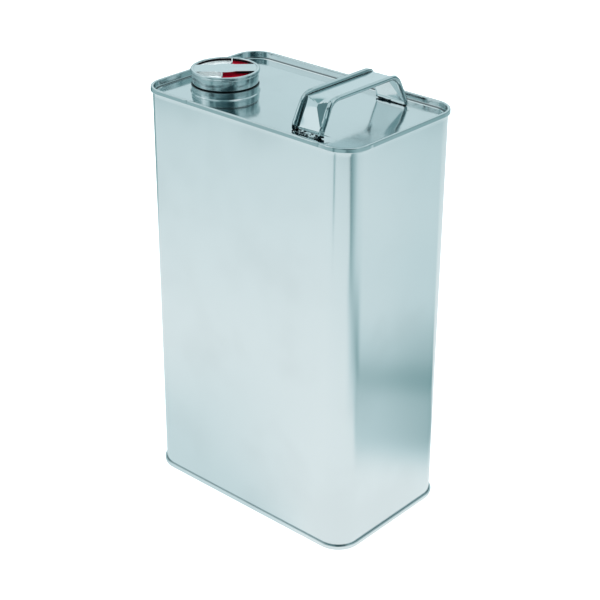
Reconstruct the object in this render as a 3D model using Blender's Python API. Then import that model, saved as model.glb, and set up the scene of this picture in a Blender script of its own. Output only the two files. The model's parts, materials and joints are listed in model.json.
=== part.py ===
"""Rectangular tinplate can with a strap handle and a screw cap, as separate pieces at real size.

Metres, +Z up. X runs along the broad side, Y along the narrow side, the front broad face looks to -Y.
The origin is the middle of the footprint, on the surface that the bottom seam stands on.
"""

import math

import bmesh
import bpy
from mathutils import Vector

# Can body
body_length = 0.1692
body_depth = 0.1028
corner_radius = 0.0155
can_height = 0.2765
sheet = 0.00025
corner_steps = 6

# Double seams, where a folded end and the folded wall lock into each other
fold_gap = 0.00022
seam_height = 0.0030
seam_crown_radius = 0.00045
fold_radius = 0.0002
compound_thickness = 0.0003
panel_depth = 0.0045
panel_radius = 0.0010
panel_inset = 0.0050

# Side seam of the wall, on the narrow side away from the handle
lap_width = 0.0030
lap_rise = 0.0002
lap_stop = 0.0060

# Space left between pieces that touch on the real can
clearance = 0.00025

# Filler neck, clinched into the top end
neck_from_side = 0.0358
neck_from_front = 0.0377
neck_sheet = 0.00035
neck_radius = 0.01945
neck_flange = 0.0018
neck_bead_swell = 0.00195
neck_bead_top = 0.0053
neck_bead_round = 0.0016
neck_thread_zone = 0.0049
neck_lip = 0.0010
neck_lip_drop = 0.0009
gasket_thickness = 0.0005
gasket_width = 0.0014
round_steps = 36

# Screw thread, shared by the neck and the cap
thread_lead = 0.0024
thread_base_half = 0.00045
thread_crest_half = 0.00022
thread_depth = 0.0010
thread_root = 0.00015
thread_lip_gap = 0.00027
thread_run_out_share = 0.06

# Screw cap
cap_sheet = 0.0003
cap_rim_swell = 0.0008
cap_rim_height = 0.0020
cap_rim_step = 0.0004
cap_rim_round = 0.0008
cap_skirt_gap = 0.0010
recess_margin = 0.0014
recess_depth = 0.0030
liner_thickness = 0.0009
bar_half_width = 0.0068
bar_sink = 0.0003
boss_half_length = 0.0105
boss_swell = 0.0018
bar_turn = math.radians(45.5)

# Strap handle, spot-welded to the top end across the can
handle_from_side = 0.0431
handle_shift = 0.0013
handle_margin = 0.0092
strap_width = 0.0234
strap_sheet = 0.0005
curl_radius = 0.0015
curl_angle = math.radians(300)
curl_steps = 10
handle_rise = 0.0197
leg_spread = 0.0090
foot_rise = 0.0029
foot_tab = 0.0038
top_bend = 0.0116
knee_bend = 0.0040
foot_bend = 0.0005

# How far a cut runs past the faces that it goes through
overrun = 0.001

# Edges sharper than this stay sharp in the shading
smooth_angle = math.radians(40)

# Places that follow from the sizes above
seam_overhang = 3 * (sheet + fold_gap)
panel_z = can_height - panel_depth
neck_place = (-body_length / 2 + neck_from_side, -body_depth / 2 + neck_from_front, panel_z)
neck_height = neck_bead_top + neck_thread_zone
skirt_bottom = neck_bead_top + cap_skirt_gap
skirt_radius = neck_radius + thread_depth + clearance + cap_sheet
recess_radius = skirt_radius - recess_margin
recess_floor = neck_height + liner_thickness + 2 * clearance + cap_sheet
cap_top = recess_floor + recess_depth
handle_place = (body_length / 2 - handle_from_side, handle_shift, panel_z)
foot_end = body_depth / 2 - handle_margin
leg_foot = foot_end - foot_tab
leg_top = leg_foot - leg_spread


def clear_scene():
    for thing in list(bpy.data.objects):
        bpy.data.objects.remove(thing, do_unlink=True)


def metal(name, colour, roughness, metallic=1.0):
    """A plain Principled material."""
    found = bpy.data.materials.new(name)
    found.use_nodes = True
    shader = found.node_tree.nodes["Principled BSDF"]
    shader.inputs["Base Color"].default_value = (*colour, 1.0)
    shader.inputs["Roughness"].default_value = roughness
    shader.inputs["Metallic"].default_value = metallic
    return found


def make_object(name, shape, material, place=(0, 0, 0), turn=0):
    """Turns a bmesh into one named object, standing at a place and turned about its upright axis."""
    bmesh.ops.recalc_face_normals(shape, faces=shape.faces)
    mesh = bpy.data.meshes.new(name)
    shape.to_mesh(mesh)
    shape.free()
    mesh.materials.append(material)
    mesh.shade_smooth()
    mesh.set_sharp_from_angle(angle=smooth_angle)
    made = bpy.data.objects.new(name, mesh)
    made.location = place
    made.rotation_euler.z = turn
    bpy.context.scene.collection.objects.link(made)
    return made


def as_cutter(thing):
    """Marks a helper form that only shapes another object."""
    thing.hide_render = True
    thing.display_type = "WIRE"


def combine(thing, form, operation):
    """Adds a helper form to an object, or cuts it away."""
    as_cutter(form)
    step = thing.modifiers.new(form.name, "BOOLEAN")
    step.operation = operation
    step.solver = "EXACT"
    step.object = form


def rounded_path(points, radii, steps):
    """An open path of 2D points whose inner corners are arcs; steps says how many pieces each arc has."""
    path = [Vector(points[0])]
    for i in range(1, len(points) - 1):
        corner = Vector(points[i])
        back = Vector(points[i - 1]) - corner
        ahead = Vector(points[i + 1]) - corner
        half_turn = (math.pi - back.angle(ahead)) / 2
        longest = min(back.length, ahead.length) / 2
        reach = min(radii[i - 1] * math.tan(half_turn), longest)
        radius = reach / math.tan(half_turn)
        start = corner + back.normalized() * reach
        end = corner + ahead.normalized() * reach
        middle = corner + (back.normalized() + ahead.normalized()).normalized() * (radius / math.cos(half_turn))
        first = start - middle
        turn = first.angle_signed(end - middle)
        for k in range(steps[i - 1] + 1):
            angle = -turn * k / steps[i - 1]
            path.append(
                middle
                + Vector(
                    (
                        first.x * math.cos(angle) - first.y * math.sin(angle),
                        first.x * math.sin(angle) + first.y * math.cos(angle),
                    )
                )
            )
    path.append(Vector(points[-1]))
    return path


def side_steps(path):
    """For each point of a path, the sideways step of unit thickness that keeps a sheet evenly thick."""
    found = []
    for i, point in enumerate(path):
        before = (point - path[i - 1]).normalized() if i else None
        after = (path[i + 1] - point).normalized() if i + 1 < len(path) else None
        along = ((before or after) + (after or before)).normalized()
        side = Vector((-along.y, along.x))
        straight = before or after
        found.append(side / side.dot(Vector((-straight.y, straight.x))))
    return found


def sheet_outline(path, thickness):
    """The closed outline of a sheet that follows a path at mid-thickness."""
    steps = side_steps(path)
    left = [point + step * (thickness / 2) for point, step in zip(path, steps)]
    right = [point - step * (thickness / 2) for point, step in zip(path, steps)]
    return left + right[::-1]


def plan_ring(offset, z):
    """The can's rounded rectangle, this far outside the wall's outer face."""
    radius = corner_radius + offset
    middle_x = body_length / 2 - corner_radius
    middle_y = body_depth / 2 - corner_radius
    ring = []
    for corner, (sign_x, sign_y) in enumerate(((1, 1), (-1, 1), (-1, -1), (1, -1))):
        for k in range(corner_steps + 1):
            angle = (corner + k / corner_steps) * math.pi / 2
            ring.append(
                Vector(
                    (
                        sign_x * middle_x + radius * math.cos(angle),
                        sign_y * middle_y + radius * math.sin(angle),
                        z,
                    )
                )
            )
    return ring


def round_ring(radius, z):
    """A circle round an upright axis, at a height."""
    angles = (2 * math.pi * k / round_steps for k in range(round_steps))
    return [Vector((radius * math.cos(angle), radius * math.sin(angle), z)) for angle in angles]


def bridge(shape, low, high):
    """Joins two closed rows of vertices with quads."""
    for k in range(len(low)):
        shape.faces.new((low[k - 1], low[k], high[k], high[k - 1]))


def loft(rings, closed):
    """Skins a row of rings that have equally many points. An open row gets a flat face at each end."""
    shape = bmesh.new()
    rows = [[shape.verts.new(point) for point in ring] for ring in rings]
    pairs = list(zip(rows, rows[1:]))
    if closed:
        pairs.append((rows[-1], rows[0]))
    else:
        shape.faces.new(rows[0])
        shape.faces.new(rows[-1])
    for low, high in pairs:
        bridge(shape, low, high)
    return shape


def seam_path(end_hook_drop):
    """Mid-thickness path of an end, as offset from the wall and height below the seam's crown."""
    half = sheet / 2
    chuck = -sheet - fold_gap - half
    hook = fold_gap + half
    outer = seam_overhang - half
    points = [
        (chuck - panel_inset, -panel_depth - half),
        (chuck, -panel_depth - half),
        (chuck, -half),
        (outer, -half),
        (outer, half - seam_height),
        (hook, half - seam_height),
        (hook, -end_hook_drop),
    ]
    radii = [panel_radius, seam_crown_radius, seam_crown_radius, fold_radius, fold_radius]
    return rounded_path(points, radii, [2, 2, 2, 1, 1])


def can_end(name, material, crown, way):
    """One end of the can: a sunk panel, a wall up to the seam's crown, and the folded hook."""
    hook_drop = 2 * sheet + compound_thickness + 3 * fold_gap
    outline = sheet_outline(seam_path(hook_drop), sheet)
    rings = [plan_ring(point.x, crown + way * point.y) for point in outline]
    return make_object(name, loft(rings, closed=False), material)


def make_body_wall(material):
    """The wall: one rolled sheet with a hook at each end and a lapped side seam."""
    half = sheet / 2
    hook = 2 * fold_gap + 3 * half
    crown_drop = sheet + 2 * fold_gap + compound_thickness + half
    hook_tip = seam_height - sheet - fold_gap
    points = [
        (hook, hook_tip),
        (hook, crown_drop),
        (-half, crown_drop),
        (-half, can_height - crown_drop),
        (hook, can_height - crown_drop),
        (hook, can_height - hook_tip),
    ]
    outline = sheet_outline(rounded_path(points, [fold_radius] * 4, [1] * 4), sheet)
    wall = make_object("body_wall", loft([plan_ring(p.x, p.y) for p in outline], closed=True), material)

    lap_low = seam_height + lap_stop
    lap = bmesh.new()
    bmesh.ops.create_cube(lap, size=1)
    bmesh.ops.scale(lap, vec=(half + lap_rise, lap_width, can_height - 2 * lap_low), verts=lap.verts)
    lap_x = -body_length / 2 + (half - lap_rise) / 2
    bmesh.ops.translate(lap, vec=(lap_x, 0, can_height / 2), verts=lap.verts)
    combine(wall, make_object("side_seam_form", lap, material), "UNION")


def make_compound(name, material, crown, way):
    """The ring of sealing compound inside a seam, between the crown and the wall's hook."""
    inner = -sheet
    outer = seam_overhang - sheet - fold_gap
    top = -sheet - fold_gap
    low = top - compound_thickness
    outline = [(inner, top), (outer, top), (outer, low), (inner, low)]
    rings = [plan_ring(offset, crown + way * drop) for offset, drop in outline]
    make_object(name, loft(rings, closed=True), material)


def make_ends(material):
    """Both ends, and the hole in the top one that the neck is clinched into."""
    can_end("bottom_end", material, 0, -1)
    top = can_end("top_end", material, can_height, 1)
    hole_radius = neck_radius + clearance
    hole = loft([round_ring(hole_radius, -sheet - overrun), round_ring(hole_radius, overrun)], closed=False)
    combine(top, make_object("neck_hole_form", hole, material, neck_place), "DIFFERENCE")


def thread_ridge(name, material, wall_radius, depth_way, floor, shift):
    """A right-hand helical ridge that stands out of a round wall, with a run-out at both ends.

    It climbs from the height called floor to just under the neck's lip, on the helix that passes
    through the +X side at the height called shift.
    """
    first = floor + clearance + thread_base_half
    climb = neck_height - thread_lip_gap - thread_base_half - first
    count = round(round_steps * climb / thread_lead)
    rings = []
    for k in range(count + 1):
        share = k / count
        height = first + climb * share
        angle = 2 * math.pi * (height - shift) / thread_lead
        rise = thread_depth * min(1, share / thread_run_out_share, (1 - share) / thread_run_out_share)
        base = wall_radius - depth_way * thread_root
        crest = wall_radius + depth_way * (rise - thread_root / 2)
        section = [
            (base, -thread_base_half),
            (crest, -thread_crest_half),
            (crest, thread_crest_half),
            (base, thread_base_half),
        ]
        rings.append([Vector((r * math.cos(angle), r * math.sin(angle), height + z)) for r, z in section])
    return make_object(name, loft(rings, closed=False), material, neck_place)


def make_neck(material):
    """The neck: a turned sheet with a clinch under the panel, a base bead, a thread and a curled lip."""
    half = neck_sheet / 2
    tube = neck_radius - half
    bead = tube + neck_bead_swell
    clinch_z = -sheet - clearance - half
    bead_low = 2 * clearance + gasket_thickness + half
    points = [
        (tube + neck_flange, clinch_z),
        (tube, clinch_z),
        (tube, bead_low),
        (bead, bead_low),
        (bead, neck_bead_top - half),
        (tube, neck_bead_top - half),
        (tube, neck_height - half),
        (tube - neck_lip, neck_height - half),
        (tube - neck_lip, neck_height - half - neck_lip_drop),
    ]
    radii = [neck_sheet, neck_sheet, neck_bead_round, neck_bead_round, neck_sheet, neck_sheet, neck_sheet]
    outline = sheet_outline(rounded_path(points, radii, [1, 1, 3, 3, 1, 1, 1]), neck_sheet)
    turned = loft([round_ring(p.x, p.y) for p in outline], closed=True)
    neck = make_object("filler_neck", turned, material, neck_place)

    ridge = thread_ridge("neck_thread_form", material, neck_radius, 1, neck_bead_top, 0)
    combine(neck, ridge, "UNION")


def make_gasket(material):
    """The flat ring that seals the neck's bead to the top panel."""
    inner = neck_radius + clearance
    outer = inner + gasket_width
    outline = [
        (inner, clearance),
        (outer, clearance),
        (outer, clearance + gasket_thickness),
        (inner, clearance + gasket_thickness),
    ]
    turned = loft([round_ring(r, z) for r, z in outline], closed=True)
    make_object("neck_gasket", turned, material, neck_place)


def bar_outline(inset, reach):
    """Outline of the cap's grip bar seen from above: two straight sides, round ends and an oval boss."""
    half = bar_half_width - inset
    boss_long = boss_half_length - inset
    boss_wide = half + boss_swell
    end_angle = math.asin(half / reach)
    boss_angle = math.asin(half / boss_wide)
    end_steps = 4
    boss_steps = 8
    right = [
        (reach * math.cos(a), reach * math.sin(a))
        for a in (end_angle * (2 * k / end_steps - 1) for k in range(end_steps + 1))
    ]
    over = [
        (boss_long * math.cos(a), boss_wide * math.sin(a))
        for a in (boss_angle + (math.pi - 2 * boss_angle) * k / boss_steps for k in range(boss_steps + 1))
    ]
    half_way_round = right + over
    return half_way_round + [(-x, -y) for x, y in half_way_round]


def bar_form(name, material, inset, reach, low, high):
    """A solid with the grip bar's outline, turned to the bar's direction."""
    rings = [[Vector((x, y, z)) for x, y in bar_outline(inset, reach)] for z in (low, high)]
    return make_object(name, loft(rings, closed=False), material, neck_place, bar_turn)


def make_cap(material):
    """The cap: a plain skirt, a rolled rim, a sunk top with a hollow grip bar, and an inner thread."""
    half = cap_sheet / 2
    wall = recess_radius + half
    skirt = skirt_radius - half
    rim = skirt + cap_rim_swell
    rim_low = cap_top - cap_rim_height
    points = [
        (bar_half_width, recess_floor - half),
        (wall, recess_floor - half),
        (wall, cap_top - half),
        (rim, cap_top - half),
        (rim, rim_low),
        (skirt, rim_low - cap_rim_step),
        (skirt, skirt_bottom),
    ]
    radii = [cap_sheet, cap_rim_round, cap_rim_round, cap_rim_step, cap_rim_step]
    outline = sheet_outline(rounded_path(points, radii, [1, 3, 3, 1, 1]), cap_sheet)
    turned = loft([round_ring(p.x, p.y) for p in outline], closed=False)
    cap = make_object("screw_cap", turned, material, neck_place)

    bar_top = cap_top - bar_sink
    combine(cap, bar_form("bar_form", material, 0, wall, recess_floor - half, bar_top), "UNION")
    hollow_low = recess_floor - cap_sheet - overrun
    hollow_reach = recess_radius - cap_sheet
    hollow = bar_form("bar_hollow_form", material, cap_sheet, hollow_reach, hollow_low, bar_top - cap_sheet)
    combine(cap, hollow, "DIFFERENCE")

    inside = skirt_radius - cap_sheet
    ridge = thread_ridge("cap_thread_form", material, inside, -1, skirt_bottom, thread_lead / 2)
    combine(cap, ridge, "UNION")


def make_liner(material):
    """The sealing disc that the cap presses on the neck's lip."""
    low = neck_height + clearance
    radius = skirt_radius - cap_sheet - thread_depth - 2 * clearance
    disc = loft([round_ring(radius, low), round_ring(radius, low + liner_thickness)], closed=False)
    make_object("cap_liner", disc, material, neck_place)


def strap_section():
    """Half of the strap's cross-section: the sheet's path from the flat web round one edge curl."""
    curl = curl_radius - strap_sheet / 2
    edge = strap_width / 2 - curl_radius
    return [
        Vector((edge + curl * math.sin(a), curl - curl * math.cos(a)))
        for a in (curl_angle * k / curl_steps for k in range(curl_steps + 1))
    ]


def make_handle(material):
    """The handle: a strap with curled edges, bent to a bridge, with a flat welding tab at each foot."""
    half = strap_sheet / 2
    foot_z = clearance + half
    right = sheet_outline(strap_section(), strap_sheet)
    left = [Vector((-p.x, p.y)) for p in reversed(right)]
    section = right + left

    points = [
        (-foot_end, foot_z),
        (-leg_foot, foot_z),
        (-leg_foot, foot_rise),
        (-leg_top, handle_rise),
        (leg_top, handle_rise),
        (leg_foot, foot_rise),
        (leg_foot, foot_z),
        (foot_end, foot_z),
    ]
    bends = [foot_bend, knee_bend, top_bend, top_bend, knee_bend, foot_bend]
    foot_steps, knee_steps, top_steps = 2, 2, 6
    counts = [foot_steps, knee_steps, top_steps]
    path = rounded_path(points, bends, counts + counts[::-1])
    steps = side_steps(path)

    def place(point, station):
        at = path[station] + steps[station] * point.y
        return Vector((point.x, at.x, at.y))

    # The curls stop where the foot bends into its tab, and only the flat web goes on.
    first = foot_steps + 1
    last = len(path) - 1 - first
    shape = bmesh.new()
    rows = [[shape.verts.new(place(point, s)) for point in section] for s in range(first, last + 1)]
    for low, high in zip(rows, rows[1:]):
        bridge(shape, low, high)
    web = (0, len(right) - 1, len(right), len(section) - 1)
    for row, stations in ((rows[0], range(first - 1, -1, -1)), (rows[-1], range(last + 1, len(path)))):
        shape.faces.new(row[: len(right)])
        shape.faces.new(row[len(right) :])
        edge = [row[k] for k in web]
        for s in stations:
            ahead = [shape.verts.new(place(section[k], s)) for k in web]
            bridge(shape, edge, ahead)
            edge = ahead
        shape.faces.new(edge)
    make_object("carry_handle", shape, material, handle_place)


def main():
    clear_scene()
    tinplate = metal("tinplate", (0.72, 0.80, 0.82), 0.16)
    bright_tinplate = metal("bright_tinplate", (0.78, 0.85, 0.87), 0.10)
    cap_metal = metal("cap_metal", (0.66, 0.74, 0.76), 0.14)
    compound = metal("seam_compound", (0.55, 0.53, 0.46), 0.7, metallic=0.0)
    liner = metal("cap_liner", (0.85, 0.84, 0.80), 0.6, metallic=0.0)

    make_body_wall(tinplate)
    make_ends(tinplate)
    make_compound("top_seam_compound", compound, can_height, 1)
    make_compound("bottom_seam_compound", compound, 0, -1)
    make_neck(cap_metal)
    make_gasket(compound)
    make_cap(cap_metal)
    make_liner(liner)
    make_handle(bright_tinplate)


main()
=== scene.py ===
"""Rectangular tin can with a strap handle and a screw cap: its finished look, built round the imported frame.

Metres, +Z up. X runs along the broad side, Y along the narrow side, the front broad face looks to -Y.
Each piece stands for one node of the frame, has the same name with _shell at its end, and rides on its body.
"""

import json
import math

import bmesh
import bpy
from mathutils import Matrix, Vector

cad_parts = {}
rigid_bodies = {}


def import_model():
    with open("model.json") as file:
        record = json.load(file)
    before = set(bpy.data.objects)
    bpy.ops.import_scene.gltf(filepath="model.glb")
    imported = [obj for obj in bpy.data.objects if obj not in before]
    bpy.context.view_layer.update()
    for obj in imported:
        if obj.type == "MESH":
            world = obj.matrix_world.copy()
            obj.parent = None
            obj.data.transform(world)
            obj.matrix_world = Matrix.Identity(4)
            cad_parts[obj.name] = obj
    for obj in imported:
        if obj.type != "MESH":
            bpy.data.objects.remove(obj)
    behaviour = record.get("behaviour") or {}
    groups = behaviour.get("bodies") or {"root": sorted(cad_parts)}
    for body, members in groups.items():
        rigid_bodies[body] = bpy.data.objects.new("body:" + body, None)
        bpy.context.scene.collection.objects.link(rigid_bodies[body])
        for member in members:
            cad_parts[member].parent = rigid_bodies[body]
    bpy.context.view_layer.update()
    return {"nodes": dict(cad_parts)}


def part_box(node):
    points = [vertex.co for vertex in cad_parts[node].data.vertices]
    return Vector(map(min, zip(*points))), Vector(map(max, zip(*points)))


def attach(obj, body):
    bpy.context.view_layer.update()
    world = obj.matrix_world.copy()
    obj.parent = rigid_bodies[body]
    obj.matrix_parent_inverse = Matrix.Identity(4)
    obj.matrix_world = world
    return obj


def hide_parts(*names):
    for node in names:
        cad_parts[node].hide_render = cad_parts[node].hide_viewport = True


bl_info = {
    "name": "Rectangular tin can",
    "version": (1, 0, 0),
    "blender": (4, 5, 0),
    "location": "3D View > Sidebar > Tin can",
    "description": "Builds the finished look of a rectangular tin can round its frame",
    "category": "Add Mesh",
}

for thing in list(bpy.data.objects):
    bpy.data.objects.remove(thing, do_unlink=True)
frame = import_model()

seam_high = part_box("top_end")[1]
neck_low, neck_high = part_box("filler_neck")
cap_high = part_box("screw_cap")[1]
strap_low, strap_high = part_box("carry_handle")
full_turn = 2 * math.pi
weld_distance = 1e-6


def length(default, name, description):
    return bpy.props.FloatProperty(
        name=name, description=description, default=default, unit="LENGTH", precision=5, min=0
    )


def turn(degrees, name, description):
    return bpy.props.FloatProperty(
        name=name, description=description, default=math.radians(degrees), subtype="ANGLE"
    )


def count(default, name, description):
    return bpy.props.IntProperty(name=name, description=description, default=default, min=1)


def number(default, name, description):
    return bpy.props.FloatProperty(name=name, description=description, default=default)


def colour(default, name, description):
    return bpy.props.FloatVectorProperty(
        name=name, description=description, default=default, subtype="COLOR", min=0, max=1
    )


class TinBodySizes(bpy.types.PropertyGroup):
    """The wall and the two seamed ends."""

    corner_radius: length(0.0155, "Corner radius", "Outer radius of the wall's upright corners")
    sheet: length(0.00025, "Sheet", "Thickness of the tinplate")
    fold_gap: length(0.00022, "Fold gap", "Gap between the folded layers of a seam")
    seam_height: length(0.0030, "Seam height", "Height of the double seams")
    seam_lean: length(0.00018, "Seam lean", "How far a seam's outer face leans in towards its crown")
    crown_radius: length(0.00045, "Crown radius", "Bend over the top of a seam")
    fold_radius: length(0.0002, "Fold radius", "Bend of the hooks inside a seam")
    compound: length(0.0003, "Compound", "Thickness of the sealing compound in a seam")
    panel_depth: length(0.0045, "Panel depth", "Depth of an end's panel below the seam's crown")
    panel_radius: length(0.0004, "Panel radius", "Bend between an end's panel and its chuck wall")
    valley_width: length(0.0008, "Valley width", "Flat strip between the chuck wall and the panel's bead")
    panel_bead: length(0.0015, "Panel bead", "Width of the raised bead along the panel's edge")
    bead_height: length(0.00042, "Bead height", "Height of that bead")
    panel_inset: length(0.0050, "Panel inset", "Width of the panel's outermost flat ring")
    panel_dome: length(0.00006, "Panel dome", "Rise of the panel at each ring towards its middle")
    panel_ring: length(0.0022, "Panel ring", "Width of each ring of the slightly domed panel")
    panel_rings: count(4, "Panel rings", "Number of those rings")
    corner_steps: count(20, "Corner steps", "Faces round a quarter turn of the wall")
    long_steps: count(40, "Long steps", "Faces along a broad side")
    short_steps: count(22, "Short steps", "Faces along a narrow side")
    high_steps: count(60, "High steps", "Faces up the wall")
    wall_bow: length(0.00045, "Wall bow", "How far the broad sides swell in their middle")
    wall_wave: length(0.00005, "Wall wave", "Height of the shallow waves in the wall")
    lap_width: length(0.0030, "Lap width", "Width of the side seam's lap")
    lap_rise: length(0.00025, "Lap rise", "How far the side seam stands proud")
    nick_width: length(0.0009, "Nick width", "Width of the small dents that the seaming roll left")
    nick_depth: length(0.00022, "Nick depth", "Depth of those dents")


class NeckSizes(bpy.types.PropertyGroup):
    """The filler neck and its thread."""

    sheet: length(0.00035, "Sheet", "Thickness of the neck's sheet")
    radius: length(0.01945, "Radius", "Outer radius of the neck's tube")
    flange: length(0.0018, "Flange", "Width of the clinched flange under the panel")
    bead_swell: length(0.00203, "Bead swell", "How far the base bead stands out of the tube")
    hem: length(0.00036, "Hem", "Thickness of the bead's edge that hides the flat sealing ring")
    hem_flare: length(0.0005, "Hem flare", "How far the edge's foot flares out")
    bead_top: length(0.0053, "Bead top", "Height of the base bead above the panel")
    bead_round: length(0.0016, "Bead round", "Bend of the base bead's foot")
    shoulder_round: length(0.0005, "Shoulder round", "Bend of the base bead's shoulder")
    lip: length(0.0010, "Lip", "How far the lip curls in")
    lip_drop: length(0.0009, "Lip drop", "How far the curled lip reaches down")
    clearance: length(0.00025, "Clearance", "Gap that touching pieces keep")
    gasket: length(0.0005, "Gasket", "Thickness of the flat sealing ring")
    thread_lead: length(0.0024, "Thread lead", "Climb of the thread in one turn")
    thread_depth: length(0.0010, "Thread depth", "How far the thread's ridge stands out")
    thread_base: length(0.0009, "Thread base", "Width of the thread's ridge at its foot")
    thread_crest: length(0.00044, "Thread crest", "Width of the thread's ridge at its crest")
    thread_root: length(0.00015, "Thread root", "How deep the ridge's foot sits in the wall")
    thread_lip_gap: length(0.00027, "Thread lip gap", "Gap between the ridge and the lip's crown")
    round_steps: count(128, "Round steps", "Faces round the neck and the cap")
    thread_steps: count(72, "Thread steps", "Faces along one turn of the thread")


class CapSizes(bpy.types.PropertyGroup):
    """The screw cap."""

    sheet: length(0.0003, "Sheet", "Thickness of the cap's sheet")
    skirt_radius: length(0.0210, "Skirt radius", "Outer radius of the plain skirt")
    barrel: length(0.00012, "Barrel", "How far the skirt swells in the middle of its height")
    skirt_bottom: length(0.0063, "Skirt bottom", "Height of the skirt's edge above the panel")
    rim_height: length(0.0020, "Rim height", "Height of the rolled rim's outer side")
    rim_step: length(0.0004, "Rim step", "Height of the step between rim and skirt")
    rim_round: length(0.0008, "Rim round", "Rounding of the rim's outer edge")
    recess_radius: length(0.0196, "Recess radius", "Radius of the sunk top")
    recess_depth: length(0.0030, "Recess depth", "Depth of the sunk top below the rim")
    bar_half_width: length(0.0068, "Bar half width", "Half of the grip bar's width")
    bar_sink: length(0.0003, "Bar sink", "How far the bar's top lies below the rim")
    boss_half_length: length(0.0105, "Boss half length", "Half length of the oval swelling of the bar")
    boss_swell: length(0.0018, "Boss swell", "How far the oval stands out of the bar's sides")
    bar_turn: turn(45.5, "Bar turn", "Direction of the grip bar from the can's broad side")
    field_turn: turn(-14.0, "Field turn", "Lean of the lacquered fields' straight edge")
    field_gap: length(0.0006, "Field gap", "Bare gap between the red and the white lacquer")


class StrapSizes(bpy.types.PropertyGroup):
    """The carrying strap."""

    width: length(0.0234, "Width", "Overall width over the edge curls")
    sheet: length(0.0005, "Sheet", "Thickness of the strap")
    curl_radius: length(0.0015, "Curl radius", "Outer radius of the curled edges")
    curl_turn: turn(285, "Curl turn", "How far the edges are curled round")
    rise: length(0.0197, "Rise", "Height of the flat web above the panel")
    margin: length(0.0092, "Margin", "From the tab's end to the wall's outer face")
    tab: length(0.0038, "Tab", "Length of the welding tab")
    leg_spread: length(0.0090, "Leg spread", "How much wider the legs stand at the foot than at the top")
    foot_rise: length(0.0029, "Foot rise", "Height where the leg starts to lean")
    top_bend: length(0.0090, "Top bend", "Radius of the curls' bend between leg and top")
    knee_bend: length(0.0040, "Knee bend", "Radius of the bend near the foot")
    foot_bend: length(0.0005, "Foot bend", "Radius of the bend into the tab")
    ridge: length(0.0024, "Ridge", "How far the front leg's folded ridge stands out at the top bend")
    back_ridge: length(0.0006, "Back ridge", "The same for the back leg")
    ridge_column: count(28, "Ridge column", "Faces between the left curl and the ridge at the top bend")
    ridge_foot: number(0.96, "Ridge foot", "Where the ridge ends at the foot, as a share of the half width")
    crown: number(0.5, "Crown", "How far the web rounds down before the crease over the ridge, 1 is flat")
    crease_margin: length(0.0016, "Crease margin", "Width of the web's edges that follow the curls' bend")
    flare: number(0.6, "Flare", "How much wider the curls open at the front leg's foot")
    back_flare: number(0.4, "Back flare", "The same for the back leg")
    weld_bump: length(0.0005, "Weld bump", "Height of the spot welds' bumps")
    web_steps: count(44, "Web steps", "Faces across the flat web")
    curl_steps: count(28, "Curl steps", "Faces round an edge curl")


class FinishColours(bpy.types.PropertyGroup):
    """Colours and gloss of the finishes."""

    tinplate: colour((0.78, 0.84, 0.85), "Tinplate", "Rolled tinplate")
    bright_tinplate: colour((0.82, 0.88, 0.89), "Bright tinplate", "The strap and the cap")
    # Near black teal: scorched welds, and also the colour of painted shade at the strap's feet, in the ends'
    # valleys and under the cap's edge
    scorch_and_shade: colour((0.005, 0.021, 0.028), "Scorch", "Scorched metal at the spot welds")
    lacquer: colour((0.42, 0.003, 0.021), "Lacquer", "Red lacquer in the cap's sunk fields")
    # Painted shade: the dark line on the upper part of the sunk fields' walls
    painted_shade_line: colour((0.006, 0.004, 0.006), "Painted shade line", "Dark line round the lacquered fields")
    pale_lacquer: colour((0.96, 0.98, 0.98), "Pale lacquer", "White lacquer in the cap's sunk fields")
    compound: colour((0.50, 0.47, 0.38), "Sealing compound", "Compound in the seams")
    # Dark rubber, kept near black teal so that it also serves as painted shade under the neck's bead
    gasket: colour((0.014, 0.024, 0.027), "Gasket", "The neck's flat sealing ring")
    liner: colour((0.82, 0.81, 0.77), "Liner", "The cap's sealing disc")
    wall_roughness: number(0.16, "Wall roughness", "Roughness of the wall")
    end_roughness: number(0.11, "End roughness", "Roughness of the two ends")
    strap_roughness: number(0.05, "Strap roughness", "Roughness of the strap")
    cap_roughness: number(0.13, "Cap roughness", "Roughness of the cap and the neck")


class StudioSettings(bpy.types.PropertyGroup):
    """Camera, floor and lamps."""

    camera_turn: turn(41.637, "Camera turn", "Camera's direction round the can")
    camera_tilt: turn(27.001, "Camera tilt", "Camera's height above the horizon")
    camera_roll: turn(0.369, "Camera roll", "Camera's roll")
    camera_distance: length(0.9948, "Camera distance", "From the camera to the can's middle")
    camera_right: number(0.00210, "Camera right", "Sideways offset of the aim, in metres")
    camera_up: number(-0.00254, "Camera up", "Upward offset of the aim, in metres")
    focal_length: number(90.97, "Focal length", "In millimetres, on a 36 mm sensor")
    floor_size: length(8.0, "Floor size", "Side of the floor")


def tin():
    return bpy.context.scene.tin_body


def neck():
    return bpy.context.scene.tin_neck


def cap():
    return bpy.context.scene.tin_cap


def strap():
    return bpy.context.scene.tin_strap


def finishes():
    return bpy.context.scene.tin_finish


def seam_overhang():
    """How far a double seam stands out of the wall: three layers of sheet and their gaps."""
    return 3 * (tin().sheet + tin().fold_gap)


def half_wall():
    """Half length and half depth of the wall, on its outer face."""
    return seam_high.x - seam_overhang(), seam_high.y - seam_overhang()


def half_straight():
    """Half of the straight stretch of a broad side and of a narrow side, between the rounded corners."""
    half_long, half_short = half_wall()
    return half_long - tin().corner_radius, half_short - tin().corner_radius


def can_height():
    return seam_high.z


def panel_z():
    return can_height() - tin().panel_depth


def neck_middle():
    return (neck_low.x + neck_high.x) / 2, (neck_low.y + neck_high.y) / 2


def neck_height():
    return neck_high.z - panel_z()


def strap_middle():
    """The middle of the strap's footprint on the panel."""
    return Vector(((strap_low.x + strap_high.x) / 2, (strap_low.y + strap_high.y) / 2, panel_z()))


def web_edge():
    """Half width of the strap's flat web, up to its curls."""
    return strap().width / 2 - strap().curl_radius


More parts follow.
